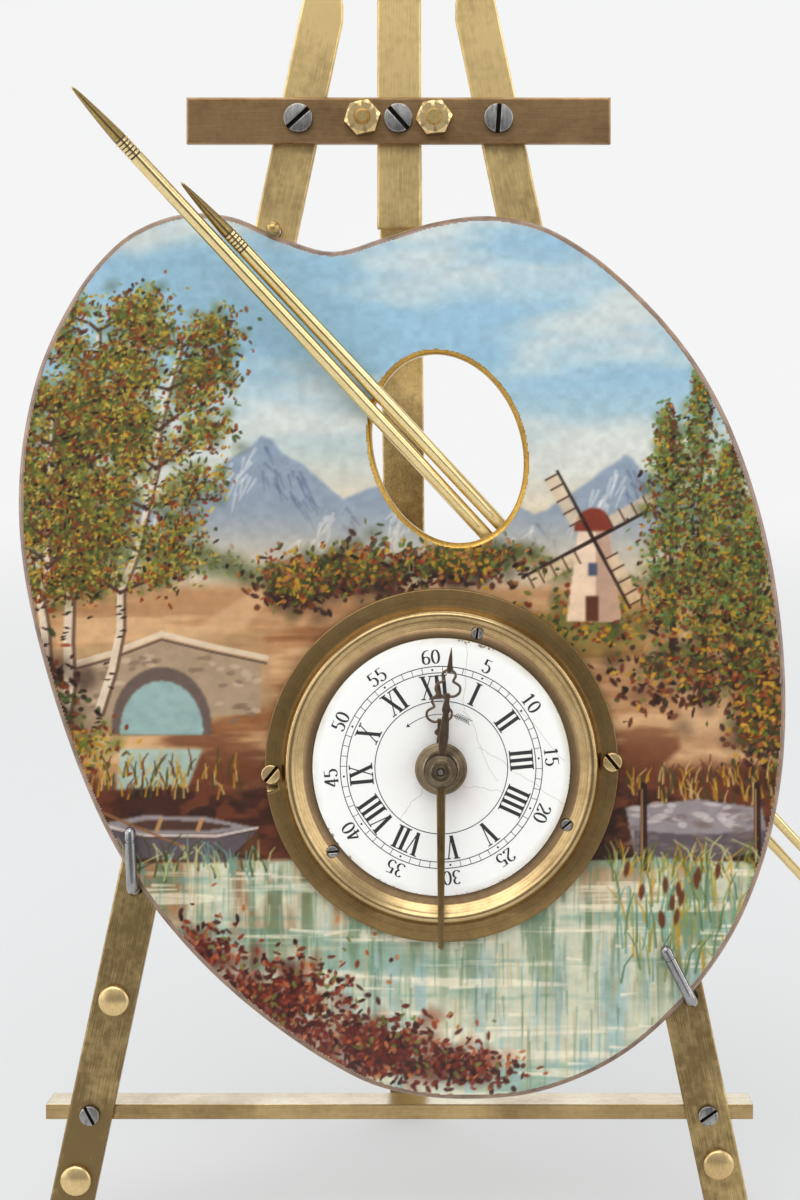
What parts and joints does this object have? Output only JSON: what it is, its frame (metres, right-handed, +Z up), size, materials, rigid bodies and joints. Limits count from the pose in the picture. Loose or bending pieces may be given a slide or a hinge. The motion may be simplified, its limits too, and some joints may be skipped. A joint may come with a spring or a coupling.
{
  "type": "palette clock",
  "caption": "Porcelain painter's palette holding a drum alarm clock, on a folding brass easel, with brass brushes through its thumb hole.",
  "frame": {"origin": "on the floor, under the middle of the bounding box", "axes": "+Z up, +X to the right of someone facing the dial, +Y backwards, away from that person"},
  "size_m": [0.1844, 0.094, 0.2951],
  "materials": {
    "aged_brass": "brushed, aged and slightly tarnished",
    "dark_brass": "satin, toned dark bronze",
    "bright_brass": "polished",
    "steel": "satin, slightly aged",
    "bronze": "dark patina, almost brown-black",
    "porcelain": "glazed, hand painted on the front",
    "enamel": "white fired enamel with hairline cracks"
  },
  "bodies": {
    "easel": {"left_leg": "aged_brass", "right_leg": "aged_brass", "mast": "aged_brass", "top_crossbar": "dark_brass", "bottom_crossbar": "aged_brass", "hinge_bracket": "aged_brass", "hinge_pin": "steel", "hex_nut_left": "aged_brass", "hex_nut_right": "aged_brass", "crossbar_screw_left": "steel", "crossbar_screw_centre": "steel", "crossbar_screw_right": "steel", "bottom_screw_left": "steel", "bottom_screw_right": "steel", "leg_button_left_upper": "aged_brass", "leg_button_left_lower": "aged_brass", "leg_button_right": "aged_brass", "ball_pin": "aged_brass", "palette": "porcelain", "bezel": "aged_brass", "bezel_screw_left": "bright_brass", "bezel_screw_right": "bright_brass", "dial": "enamel", "dial_screw_top": "steel", "dial_screw_right": "steel", "dial_screw_left": "steel", "drum_case": "aged_brass", "back_cover": "aged_brass", "pillar_plate": "bright_brass", "back_plate": "bright_brass", "escapement_platform": "bright_brass", "balance_cock": "bright_brass", "bell": "bright_brass"},
    "minute_work": {"centre_arbor": "steel", "centre_wheel": "bright_brass", "cannon_pinion": "steel", "minute_hand": "bronze", "setting_knob": "bright_brass"},
    "motion_wheel": {"minute_wheel": "bright_brass"},
    "hour_work": {"hour_wheel": "bright_brass", "hour_hand": "bronze"},
    "going_barrel": {"mainspring_barrel": "bright_brass"},
    "third": {"third_wheel": "bright_brass"},
    "alarm_setting": {"alarm_hand": "bronze"},
    "winding": {"barrel_arbor": "steel", "winding_key": "bright_brass"},
    "alarm_winding": {"alarm_arbor": "steel", "alarm_key": "bright_brass"},
    "alarm_drum": {"alarm_barrel": "bright_brass"},
    "alarm_hammer": {"hammer": "steel"},
    "balance": {"balance_wheel": "bright_brass"},
    "back_leg": {"rear_leg": "aged_brass"},
    "left_hook": {"palette_hook_left": "steel", "hook_nut_left": "aged_brass"},
    "right_hook": {"palette_hook_right": "steel", "hook_nut_right": "aged_brass"},
    "long_brush": {"brush_long": "bright_brass"},
    "short_brush": {"brush_short": "bright_brass"}
  },
  "joints": [
    {"name": "minute_turn", "type": "hinge", "parent": "easel", "child": "minute_work", "pos_m": [0.00092, -0.02437, 0.10744], "axis": [0, 0.9903, -0.1392], "continuous": true},
    {"name": "motion_turn", "type": "hinge", "parent": "easel", "child": "motion_wheel", "pos_m": [0.00692, -0.02581, 0.09715], "axis": [0, 0.9903, -0.1392], "continuous": true},
    {"name": "hour_turn", "type": "hinge", "parent": "easel", "child": "hour_work", "pos_m": [0.00092, -0.02437, 0.10744], "axis": [0, 0.9903, -0.1392], "continuous": true},
    {"name": "barrel_turn", "type": "hinge", "parent": "easel", "child": "going_barrel", "pos_m": [-0.01267, -0.02525, 0.10117], "axis": [0, 0.9903, -0.1392], "continuous": true},
    {"name": "third_turn", "type": "hinge", "parent": "easel", "child": "third", "pos_m": [0.00353, -0.02231, 0.12207], "axis": [0, 0.9903, -0.1392], "continuous": true},
    {"name": "alarm_set", "type": "hinge", "parent": "easel", "child": "alarm_setting", "pos_m": [0.00092, -0.02437, 0.10744], "axis": [0, 0.9903, -0.1392], "continuous": true},
    {"name": "winding_turn", "type": "hinge", "parent": "easel", "child": "winding", "pos_m": [-0.01267, -0.02525, 0.10117], "axis": [0, 0.9903, -0.1392], "continuous": true},
    {"name": "alarm_winding_turn", "type": "hinge", "parent": "easel", "child": "alarm_winding", "pos_m": [0.01403, -0.02564, 0.09836], "axis": [0, 0.9903, -0.1392], "continuous": true},
    {"name": "alarm_barrel_turn", "type": "hinge", "parent": "easel", "child": "alarm_drum", "pos_m": [0.01403, -0.02564, 0.09836], "axis": [0, 0.9903, -0.1392], "continuous": true},
    {"name": "hammer_swing", "type": "hinge", "parent": "easel", "child": "alarm_hammer", "pos_m": [0.01842, -0.02722, 0.08714], "axis": [0, 0.9903, -0.1392], "range_deg": [0, 20], "stiffness_Nm_per_rad": 0.0005},
    {"name": "balance_swing", "type": "hinge", "parent": "easel", "child": "balance", "pos_m": [0.00092, -0.02228, 0.1223], "axis": [0, 0.9903, -0.1392], "range_deg": [-120, 120], "stiffness_Nm_per_rad": 0.000002},
    {"name": "rear_leg_fold", "type": "hinge", "parent": "easel", "child": "back_leg", "pos_m": [-0.00868, 0.00399, 0.24534], "axis": [1, 0, 0], "range_deg": [-4.5, 0]},
    {"name": "left_hook_swivel", "type": "hinge", "parent": "easel", "child": "left_hook", "pos_m": [-0.06695, -0.02822, 0.08002], "axis": [0, 0.9903, -0.1392], "continuous": true},
    {"name": "right_hook_swivel", "type": "hinge", "parent": "easel", "child": "right_hook", "pos_m": [0.056, -0.03164, 0.05571], "axis": [0, 0.9903, -0.1392], "continuous": true},
    {"name": "brush_long_draw", "type": "slide", "parent": "easel", "child": "long_brush", "axis": [-0.6523, -0.1656, 0.7396], "range_m": [0, 0.14]},
    {"name": "brush_short_draw", "type": "slide", "parent": "easel", "child": "short_brush", "axis": [-0.6602, -0.1499, 0.736], "range_m": [0, 0.14]}
  ],
  "couplings": [
    {"joint": "motion_turn", "follows": "minute_turn", "ratio": -0.33333},
    {"joint": "hour_turn", "follows": "minute_turn", "ratio": 0.083333},
    {"joint": "barrel_turn", "follows": "minute_turn", "ratio": -0.25},
    {"joint": "third_turn", "follows": "minute_turn", "ratio": -4}
  ]
}
